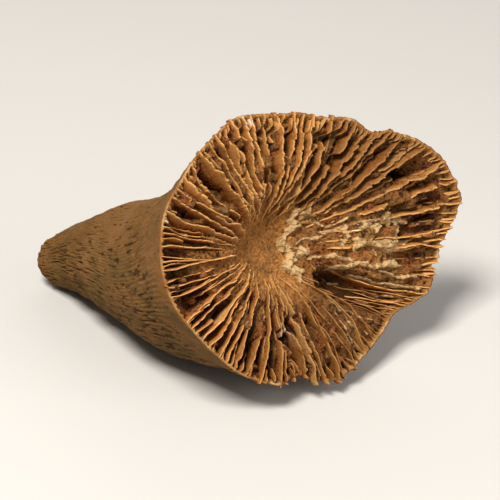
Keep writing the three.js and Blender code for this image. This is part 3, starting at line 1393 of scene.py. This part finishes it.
@dataclass
class Sediment:
    """Sandy filling of the cup, down in the gaps and level with the pit's floor.

    It covers the wall by at least cover, and closes at the point under in the stone.
    """

    cup: Cup
    columns: int = SEPTA * 5
    rows: int = 118
    cover: float = 0.2
    under: Triple = (-6.0, -2.0, -20.0)
    veins: tuple[tuple[float, float, tuple[Pair, ...]], ...] = (
        (1.6, 0.62, ((1.1, 7.4), (0.4, 5.4), (1.3, 4.7), (-0.1, 3.1), (-1.3, 1.2),
                    (-0.1, -0.3), (1.3, -1.7))),
        (0.9, 0.8, ((0.4, 0.6), (1.8, 0.0), (2.6, -0.9))),
        (1.3, 1.2, ((-0.4, -2.2), (0.6, -4.0))),
        (1.0, 0.5, ((0.4, -4.2), (1.3, -6.2))),
        (0.7, 0.35, ((1.3, 1.2), (2.3, 2.0), (4.4, 2.0), (6.7, 2.4))),
        (0.8, 0.35, ((1.3, 4.7), (5.1, 5.1), (6.9, 4.4), (9.0, 4.9), (10.6, 6.3))),
        (0.7, 0.4, ((6.2, 3.0), (10.5, 4.3), (14.8, 5.4), (21.4, 6.5))),
        (1.2, 0.6, ((13.4, 4.0), (17.2, 4.3))),
        (1.6, 0.9, ((10.3, 1.5), (12.6, 1.2), (16.2, 0.9), (21.4, 0.9), (24.5, 1.3))),
        (1.2, 1.1, ((18.8, 6.2), (21.5, 5.0), (23.5, 6.8))),
        (1.0, 0.5, ((16.0, 0.9), (16.2, -0.8))),
        (1.1, 0.6, ((9.8, 3.5), (10.9, 2.7))),
        (1.3, 0.55, ((8.0, -3.6), (12.4, -2.6), (16.0, -2.9), (21.4, -2.7))),
        (1.6, 0.26, ((16.9, -3.9), (20.0, -4.8), (23.0, -5.1), (26.5, -5.0))),
        (2.2, 0.28, ((12.4, -4.7), (17.0, -6.0), (21.0, -6.8), (27.0, -7.0))),
        (0.6, 0.4, ((3.7, -1.7), (8.3, -1.1), (12.3, -1.6))),
        (0.6, 0.4, ((11.0, -6.4), (15.0, -7.2), (21.0, -8.9))),
        (0.5, 0.25, ((-2.6, -3.6), (-3.6, -6.2))),
        (1.1, 1.1, ((2.6, 6.6), (3.2, 9.0), (4.6, 11.0))),
        (0.6, 0.24, ((5.7, -9.1), (9.1, -12.7), (12.5, -16.4))),
        (0.6, 0.22, ((7.6, -10.8), (9.8, -11.2), (11.8, -12.4), (14.7, -14.5))),
        (0.6, 0.22, ((6.6, -11.2), (8.4, -14.4), (10.2, -18.0))),
        (0.5, 0.2, ((9.1, -12.7), (11.8, -14.0), (15.0, -16.0))),
        (0.5, 0.2, ((11.8, -12.4), (15.4, -13.2), (18.0, -14.0))),
    )

    def crust(self, plan: Array) -> Array:
        """Height of the pale crust: ridges along listed lines, wandering in width.

        Each vein is given as its height, its half width and the points of its line.  A
        ridge falls off as exp(-(distance / half width)^4), and noise gives it knobs.

        Args:
            plan: points seen square on, across and up.

        Returns:
            Heights in millimetres.
        """
        spot = stack(plan[..., 0], plan[..., 1], 0 * plan[..., 0])
        stray = stack(noise(spot, 1.6, 81), noise(spot, 1.6, 82)) * 0.45
        knobs = rough(spot, 1.3, 83, 3)
        total = np.zeros(plan.shape[:-1])
        for tall, half, line in self.veins:
            loose = min(1.0, half / 0.7)
            place = plan + stray * (0.4 + 0.6 * loose)
            reach = half * (0.85 + 0.75 * loose * knobs)
            for start, end in zip(np.array(line[:-1]), np.array(line[1:])):
                gap = off_line(place, start, end)[1]
                ridge = tall * np.exp(-((gap / np.maximum(reach, 0.12)) ** 4))
                total = np.maximum(total, ridge * (0.5 + 0.35 * loose * knobs))
        return total * (1 + 0.5 * noise(spot, 0.4, 84))

    def skin(self) -> Skin:
        """A sheet over the whole cup, closed underneath to one point in the stone.

        Its outer edge is hidden inside the wall, and it never sinks through the wall.
        """
        around = np.arange(self.columns) / self.columns
        first = self.cup.start(around)
        share = np.linspace(0, 1, self.rows)[:, None]
        inward = first + (self.cup.middle - 0.012 - first) * share
        ring, inward = np.broadcast_arrays(around, inward)
        plan = self.cup.plan(ring, inward)
        least = self.cup.wall_height(ring, inward) + self.cover
        inside = ease_between(0.0, 0.08, inward - first)
        height = self.cup.fill(ring, inward) * inside + (1 - inside) * least
        points = np.concatenate([plan, height[..., None]], axis=-1)
        lumpy = 0.36 * rough(points, 1.5, 61, 3) + 0.2 * noise(points, 0.45, 66)
        points[..., 2] += lumpy * ease_between(0.05, 0.16, inward - first)
        crust = self.crust(plan)
        points[..., 2] += crust
        points[..., 2] = np.maximum(points[..., 2], least)

        middle = np.array([*PIT_CENTRE, points[-1, :, 2].mean()])
        count = self.rows * self.columns
        triangles = np.vstack([
            fan(count, count - self.columns, self.columns, False),
            fan(count + 1, 0, self.columns, True),
        ])
        # How deep each point lies below the crest, which the finish paints as shade.
        below = self.cup.crest(ring, inward) - points[..., 2]
        # The pit's matrix, which the finish paints paler: partly its own colour, partly
        # painted light.
        centre = ease_between(0.55, 0.95, inward) * ease_between(4, 0, plan[..., 0])
        return Skin(
            np.vstack([points.reshape(-1, 3), middle, self.under]),
            ring_quads(self.rows, self.columns), triangles,
            {
                "below": np.append(below, [0, 5]),
                "centre": np.append(centre, [1, 0]),
                "crust": np.append(crust, [0, 0]),
                # painted light and shade by side, partly the stone's tone
                "light": np.append(self.cup.tone(ring, inward), [1, 1]),
            },
        ).outward()

    def build(self, lie: Lie) -> bpy.types.Object:
        """Make the piece."""
        return self.skin().build("sediment", lie, SedimentFinish())


class Order(Enum):
    """The three orders of septa: first number in a group of four, then the step."""

    MAJOR = (0, 4)
    SECOND = (2, 4)
    MINOR = (1, 2)

    def numbers(self) -> Index:
        """Numbers of the septa of this order, counted round the rim."""
        first, step = self.value
        return np.arange(first, SEPTA, step)


@dataclass
class Course:
    """Where the plates of one order run, with one row per plate.

    From number to top there is one value per plate: its number, its place round the
    rim, its angle round the pit, how far it hangs over the wall and how high the wall
    is there.  The rest has one value per station on the plate's way in: how far it is
    to the inner end, the place inward, the same in millimetres, the place seen square
    on, the crest over it and the sediment under it.
    """

    number: Array
    around: Array
    angle: Array
    over: Array
    top: Array
    to_end: Array
    inward: Array
    along: Array
    plan: Array
    crest: Array
    fill: Array


@dataclass
class Septa:
    """All septa of one order: thin upright plates with chipped upper edges.

    The tables are evenly spread round the cup, from its wide side.  Lengths are in
    millimetres: drop and drop_spread from the crest down, overhang outward over the
    wall, lean sideways per millimetre of depth.  The ends are places inward, sink is
    the share of a hollow that the plates go down with, and wear and girth are factors.
    A section is given by sides: half thicknesses from the middle, millimetres under
    the edge, and shares of the depth.
    """

    cup: Cup
    order: Order
    stations: int
    half_thickness: float
    drop: tuple[float, ...]
    drop_spread: tuple[float, ...]
    ends: tuple[float, ...]
    end_spread: float
    overhang: tuple[float, ...]
    seed: int
    girth: tuple[float, ...] = (
        1.0, 1.0, 1.0, 1.0, 1.05, 1.05, 1.0, 0.85,
        0.7, 0.65, 0.65, 0.8, 0.95, 0.6, 0.5, 0.7,
    )
    lean: tuple[float, ...] = (
        0.1, 0.25, 0.35, 0.3, 0.15, 0.2, 0.3, 0.4,
        0.12, 0.0, 0.0, 0.1, 0.1, 0.0, -0.05, 0.0,
    )
    wear: tuple[float, ...] = (
        0.9, 1.0, 1.1, 1.1, 1.1, 1.1, 1.0, 0.9,
        0.75, 0.75, 0.75, 0.85, 0.9, 0.35, 0.12, 0.5,
    )
    sink: float = 3.5 / 4.6
    hold: float = 0.5
    stagger: float = 0.5
    wander: float = 0.6
    break_share: float = 0.25
    sides: tuple[Triple, ...] = (
        (-1.15, 0.26, 1.0), (-1.0, 0.26, 0.45), (-0.9, 0.26, 0.0), (-0.72, 0.1, 0.0),
        (-0.42, 0.03, 0.0), (0.0, 0.0, 0.0), (0.42, 0.03, 0.0), (0.72, 0.1, 0.0),
        (0.9, 0.26, 0.0), (1.0, 0.26, 0.45), (1.15, 0.26, 1.0),
    )

    def torn(self, number: Array, along: Array, size: float, seed: int) -> Array:
        """Straight runs with sudden steps between them, each plate with its own.

        Every run has a random level and a random slope, and size is how long it is.

        Args:
            number: numbers of the plates.
            along: millimetres on the way in.
            size: length of a run.
            seed: which runs to use.

        Returns:
            One value per station.
        """
        place = along / size + 17.3 * number
        cell = np.floor(place)
        key = stack(cell, number, 0 * cell).astype(np.int64)
        level = lattice(key, seed) * 2 - 1
        slope = lattice(key, seed + 1) * 2 - 1
        return level + slope * (place - cell - 0.5) * 1.4

    def chips(self, number: Array, along: Array) -> Array:
        """Depth of the damage in the upper edge: chips, and a few big breaks.

        Args:
            number: numbers of the plates.
            along: millimetres on the way in.

        Returns:
            Millimetres down from the edge.
        """
        coarse = self.torn(number, along, 3.1, self.seed + 1)
        middle = self.torn(number, along, 1.15, self.seed + 2)
        fine = self.torn(number, along, 0.45, self.seed + 3)
        broken = self.waves(number, along, 11.7, 3, 4.5, 4)
        depth = 0.42 * np.maximum(coarse, -0.4) + 0.2 * middle + 0.07 * fine
        limit = 1 - 2 * self.break_share
        return depth + 1.6 * ease_between(limit, limit + 0.1, broken)

    def waves(
        self, number: Array, along: Array, apart: float, layer: float, size: float,
        seed: int,
    ) -> Array:
        """Noise along the plates, each with its own.

        Args:
            number: numbers of the plates.
            along: distances on the way in.
            apart: how far apart the noises of two plates are taken.
            layer: which layer of the noise to use.
            size: distance between the noise's lattice points.
            seed: added to the order's own seed.

        Returns:
            One value per station, -1 to 1.
        """
        key = stack(number * apart, along, layer + 0 * along)
        return noise(key, size, self.seed + seed)

    def luck(self, count: int) -> dict[str, Array]:
        """Random numbers for the plates, always drawn in this order.

        Args:
            count: number of plates.

        Returns:
            The numbers by what they are for.
        """
        rng = np.random.default_rng(self.seed)
        return {
            "place": rng.uniform(-1, 1, (count, 1)),
            "over": rng.normal(0, 0.35, (count, 1)),
            "end": rng.uniform(-self.end_spread, self.end_spread, (count, 1)),
            "drop": rng.normal(0, 1, (count, 1)),
            "lean": rng.normal(0, 0.1, (count, 1, 1)),
            "sway": rng.normal(0, 0.4, (count, 1)),
            "tone": rng.normal(0, 1, count),
        }

    def course(self, luck: dict[str, Array]) -> Course:
        """Lay out where the plates run, from the outer end to the inner one.

        Args:
            luck: random numbers of the plates.

        Returns:
            The course.
        """
        number = self.order.numbers()[:, None].astype(float)
        around = (number + self.stagger * luck["place"]) / SEPTA
        length, angle = self.cup.length(around), self.cup.angle(around)
        over = by_sector(self.overhang, angle)
        over = over + luck["over"] * np.clip(over, 0.1, 1)
        end = by_sector(self.ends, angle) + luck["end"]
        first = -over / length
        step = np.linspace(0, 1, self.stations)[None, :]
        inward = first + (np.clip(end, 0.08, 1.12) - first) * step
        return Course(
            number, around, angle, over,
            self.cup.horn.rim(around)[..., 2] - self.cup.drop(around),
            (end - inward) * length, inward, inward * length,
            self.cup.plan(around, inward), self.cup.crest(around, inward),
            self.cup.fill(around, inward),
        )

    def upper(self, course: Course, drop: Array) -> Array:
        """Height of the upper edges.

        They lie below the crest by the plate's drop, by wear and in the hollows, are
        blunt at the outer end, and sink into the sediment at the inner one.

        Args:
            course: where the plates run.
            drop: random number per plate for how low it is.

        Returns:
            Heights in millimetres.
        """
        along, over, plan = course.along, course.over, course.plan
        wear = by_sector(self.wear, course.angle)
        spread = by_sector(self.drop_spread, course.angle)
        lower = by_sector(self.drop, course.angle) + spread * drop
        lobes = self.waves(course.number, along, 5.1, 1, 5.0, 8)
        lower = lower + lobes * wear
        lower = np.maximum(lower, -0.3 * ease_between(0, 3, along))
        run_on = ease_between(12, 16, plan[..., 0]) * ease_between(-2, -5, plan[..., 1])
        lower += self.sink * self.cup.trough(plan) * (1 - run_on)
        damage = self.chips(course.number, along) * wear
        upper = course.crest - (lower + damage) * ease_between(
            self.hold, self.hold + 2.4, along + 3 * over
        )
        blunt = 0.1 + 1.4 * np.clip(over, 0, 1)
        upper -= blunt * np.exp(-np.maximum(along + over, 0) / (0.2 + 0.4 * blunt))
        lip = course.top + 0.12
        lip = lip + 3 * np.clip(over, 0, 1) + 1.2 * np.maximum(along - 0.3, 0)
        upper = np.minimum(upper, np.where(along < 1.5, lip, 9))
        flush = course.fill + 0.35
        upper = flush + (upper - flush) * ease_between(0, 2.2, course.to_end)
        return np.maximum(upper, course.fill - 0.25)

    def root(self, course: Course, upper: Array) -> Array:
        """Height of the roots, down in the sediment and inside the wall."""
        wall = self.cup.wall_height(course.around, course.inward) + 0.7
        wall = np.minimum(wall, course.top - 0.5)
        return np.minimum(np.maximum(course.fill - 1.4, wall), upper - 0.3)

    def half(self, course: Course) -> Array:
        """Half the thickness, uneven along a plate and least at its inner end."""
        uneven = 1 + 0.3 * self.waves(course.number, course.along, 3.1, 0, 2.0, 5)
        half = self.half_thickness * by_sector(self.girth, course.angle) * uneven
        return half * (0.55 + 0.45 * ease_between(-0.02, 1.0, course.to_end))

    def sway(self, course: Course, share: Array) -> Array:
        """How far plates stray sideways from the cup's plan."""
        sway = share * np.sin(np.pi * np.clip(course.inward, 0, 1))
        stray = self.waves(course.number, course.along, 2.3, 2, 6.0, 9)
        return sway + self.wander * stray * ease_between(-0.5, 3, course.along)

    def skin(self) -> Skin:
        """Every plate at once: plate, station along it, point round its section.

        Along its length a plate follows the cup's plan, a little bent of its own.
        Its section runs from the root up one face, over the edge and down the other.
        """
        luck = self.luck(len(self.order.numbers()))
        course = self.course(luck)
        along = course.along
        upper = self.upper(course, luck["drop"])
        depth = (upper - self.root(course, upper))[..., None]
        lateral, near, share = (np.array(v) for v in zip(*self.sides))
        near = near * np.minimum(1, depth / 0.8)
        below = near + share * (depth - near)
        height = upper[..., None] - below
        under = course.crest[..., None] - height

        key = stack(course.number[..., None] * 7.7, along[..., None], height)
        bend = 0.26 * noise(key, 3.4, self.seed + 6) + 0.08 * noise(
            key, 1.1, self.seed + 7
        )
        swell = 0.24 * np.exp(-np.maximum(along, 0) / 1.1)
        swell = swell * ease_between(-1.2, 0, along)
        foot = 1 + 0.1 * np.clip(under, 0, 5)
        width = lateral * (
            self.half(course)[..., None] * foot
            + swell[..., None] * ease_between(0.0, 1.6, under)
        )
        lean = by_sector(self.lean, course.angle)[..., None] + luck["lean"]
        shift = width + bend + self.sway(course, luck["sway"])[..., None] - lean * under
        side = leftward(np.gradient(course.plan, axis=1))
        flat = course.plan[:, :, None, :] + side[:, :, None, :] * shift[..., None]
        points = np.concatenate([flat, height[..., None]], axis=-1)
        return self.join(points, below, under, course, luck["tone"])

    def join(
        self, points: Array, below: Array, under: Array, course: Course, tone: Array
    ) -> Skin:
        """Close each plate at both ends and put all of them in one skin.

        Args:
            points: plate, station, point round the section, coordinate.
            below: how far each point lies below its plate's upper edge.
            under: how far each point lies below the crest.
            course: where the plates run.
            tone: one random number per plate, for its colour.

        Returns:
            The skin, with the numbers that the finish reads.
        """
        plates, stations, around = points.shape[:3]
        own = stations * around

        def whole(values: Array) -> Array:
            """Values of each plate's points, and after them of its two ends."""
            flat = np.broadcast_to(values, below.shape).reshape(plates, own)
            return np.concatenate([flat, flat[:, [0, -1]]], axis=1).ravel()

        ends = points[:, [0, -1]].mean(axis=2)
        block = np.concatenate([points.reshape(plates, own, 3), ends], axis=1)
        block = block.reshape(-1, 3)
        triangles = np.vstack([
            fan(own, 0, around, True), fan(own + 1, own - around, around, False),
        ])
        offset = (np.arange(plates) * (own + 2))[:, None, None]
        chip = np.concatenate(
            [below.reshape(plates, own), np.full((plates, 2), 0.5)], axis=1
        ).ravel()
        depth, reach = whole(under), whole(course.inward[..., None])
        # How light each side of the cup is made: partly its tone, partly painted light
        # and shade.
        light = whole(self.cup.tone(course.around, course.inward)[..., None])
        # Pale upper edges: partly worn, partly painted highlight; they fade as painted
        # shade deeper below the crest and where the side is shaded.
        edge = np.exp(-chip / 0.26) * np.exp(-np.maximum(depth, 0) / 5)
        return Skin(
            block,
            (ring_quads(stations, around)[None] + offset).reshape(-1, 4),
            (triangles[None] + offset).reshape(-1, 3),
            {
                "below": depth,
                "tone": np.repeat(np.clip(0.5 + 0.3 * tone, 0, 1), own + 2),
                "light": light,
                "chalk": self.cup.chalky(block[:, :2]),
                "edge": edge * np.minimum(1, light),
                "stuck": ease_between(0.1, 0.5, chip)
                * (0.7 + 0.3 * ease_between(0.1, 0.5, reach)),
            },
        ).outward()

    def build(self, lie: Lie) -> bpy.types.Object:
        """Make the piece."""
        name = f"septa_{self.order.name.lower()}"
        return self.skin().build(name, lie, SeptumFinish())


# ------------------------------------------------------------------------------- studio
@dataclass(frozen=True)
class Studio:
    """Pale floor, soft lights and the camera."""

    lie: Lie
    tilt: float = 36.0  # between the line of sight and the way the cup faces
    distance: float = 420.0
    half_frame: float = 45.45
    aside: float = 11.09
    floor_colour: Colour = (0.52, 0.505, 0.485)
    floor_half: float = 4.0
    sky: Colour = (1.0, 0.96, 0.9)
    sky_strength: float = 0.2
    warm: Colour = (1.0, 0.965, 0.91)

    def axes(self) -> tuple[Vector, Vector, Vector]:
        """Right, up and back of the camera, on the floor's axes."""
        tilt = math.radians(self.tilt)
        right = self.lie.direction((math.cos(tilt), 0, math.sin(tilt)))
        back = self.lie.direction((-math.sin(tilt), 0, math.cos(tilt)))
        return right, back.cross(right), back

    def centre(self) -> Vector:
        """Middle of the rim's plane."""
        return Vector(self.lie.points(np.zeros((1, 3)))[0])

    def camera(self) -> None:
        """Long lens, looking into the cup from the side that the horn bends to."""
        right, up, back = self.axes()
        data = bpy.data.cameras.new("portrait")
        data.sensor_width = 36.0
        data.lens = 18.0 * self.distance / self.half_frame
        data.clip_start, data.clip_end = 0.01, 20.0
        camera = linked("portrait", data)
        spot = self.centre() - right * self.aside * MM + back * self.distance * MM
        turn = Matrix((right, up, back)).transposed().to_4x4()
        camera.matrix_world = Matrix.Translation(spot) @ turn
        bpy.context.scene.camera = camera

    def light(
        self, name: str, towards: Triple, distance: float,
        size: float, watts: float, tint: Colour = (1.0, 1.0, 1.0),
    ) -> None:
        """Square soft light that faces the cup.

        Args:
            name: what the light is called.
            towards: where it stands, right, up and back as the camera sees it.
            distance: metres from the middle of the cup.
            size: metres across.
            watts: its power.
            tint: its colour.
        """
        right, up, back = self.axes()
        way = (right * towards[0] + up * towards[1] + back * towards[2]).normalized()
        data = bpy.data.lights.new(name, "AREA")
        data.size, data.energy, data.color = size, watts, tint
        lamp = linked(name, data)
        lamp.location = self.centre() + way * distance
        lamp.rotation_euler = (-way).to_track_quat("-Z", "Y").to_euler()

    def floor(self) -> None:
        """One large pale sheet under the coral."""
        half = self.floor_half
        mesh = bpy.data.meshes.new("floor")
        signs = ((-1, -1), (1, -1), (1, 1), (-1, 1))
        corners = [(x * half, y * half, 0) for x, y in signs]
        mesh.from_pydata(corners, [], [(0, 1, 2, 3)])
        sheet = linked("floor", mesh)
        sketch = Sketch("floor_paper", roughness=0.9, gloss=0.5)
        sketch.feed(sketch.shader.inputs["Base Color"], self.floor_colour)
        mesh.materials.append(sketch.material)

    def build(self) -> None:
        """Set up everything round the coral."""
        scene = bpy.context.scene
        scene.view_settings.view_transform = "Standard"
        world = bpy.data.worlds.new("studio")
        world.use_nodes = True
        background = world.node_tree.nodes["Background"]
        background.inputs["Color"].default_value = (*self.sky, 1.0)
        background.inputs["Strength"].default_value = self.sky_strength
        scene.world = world
        self.floor()
        self.light("key", (-0.22, 0.55, 0.8), 0.7, 0.22, 8.4, self.warm)
        self.light("fill", (0.8, 0.1, 0.6), 0.8, 0.6, 2.8)
        self.light("back", (0.1, 0.75, -0.75), 0.9, 0.8, 3.6, self.warm)
        self.camera()


def main() -> None:
    """Build the coral piece by piece, then the studio."""
    logging.basicConfig(level=logging.INFO, format="%(name)s %(message)s")
    lie = Lie()
    horn = Horn()
    cup = Cup(horn)
    Wall(horn, cup).build(lie)
    Sediment(cup).build(lie)
    Septa(
        cup, Order.MAJOR, stations=150, half_thickness=0.2, seed=101,
        drop=(0.1, 0.1, 0.0, 0.0, 0.05, 0.1, 0.0, 0.0),
        drop_spread=(0.5, 0.5, 0.3, 0.25, 0.15, 0.15, 0.25, 0.06),
        ends=(0.98, 0.98, 0.98, 0.95, 0.8, 0.92, 0.96, 1.0), end_spread=0.06,
        overhang=(0.0, -0.2, 0.0, -0.1, -0.15, -0.15, 0.4, -0.4),
    ).build(lie)
    Septa(
        cup, Order.SECOND, stations=130, half_thickness=0.17, seed=202, hold=0.1,
        drop=(1.9, 2.1, 0.9, 0.3, 0.2, 0.3, 0.4, 0.05),
        drop_spread=(1.2, 1.3, 0.7, 0.4, 0.2, 0.2, 0.4, 0.08),
        ends=(0.86, 0.84, 0.86, 0.84, 0.72, 0.8, 0.84, 0.9), end_spread=0.1,
        overhang=(-0.3, -0.5, -0.2, -0.15, -0.2, -0.2, 0.0, -0.5),
    ).build(lie)
    Septa(
        cup, Order.MINOR, stations=56, half_thickness=0.13, seed=303, hold=-0.6,
        drop=(1.8, 3.0, 3.3, 2.8, 0.4, 0.6, 2.4, 0.1),
        drop_spread=(0.5, 0.5, 0.5, 0.5, 0.25, 0.3, 0.5, 0.1),
        ends=(0.34, 0.3, 0.3, 0.34, 0.42, 0.42, 0.34, 0.5), end_spread=0.14,
        overhang=(-0.4, -0.8, -1.2, -0.4, -0.2, -0.2, -0.8, -0.5),
    ).build(lie)
    Studio(lie).build()


if __name__ == "__main__":
    main()
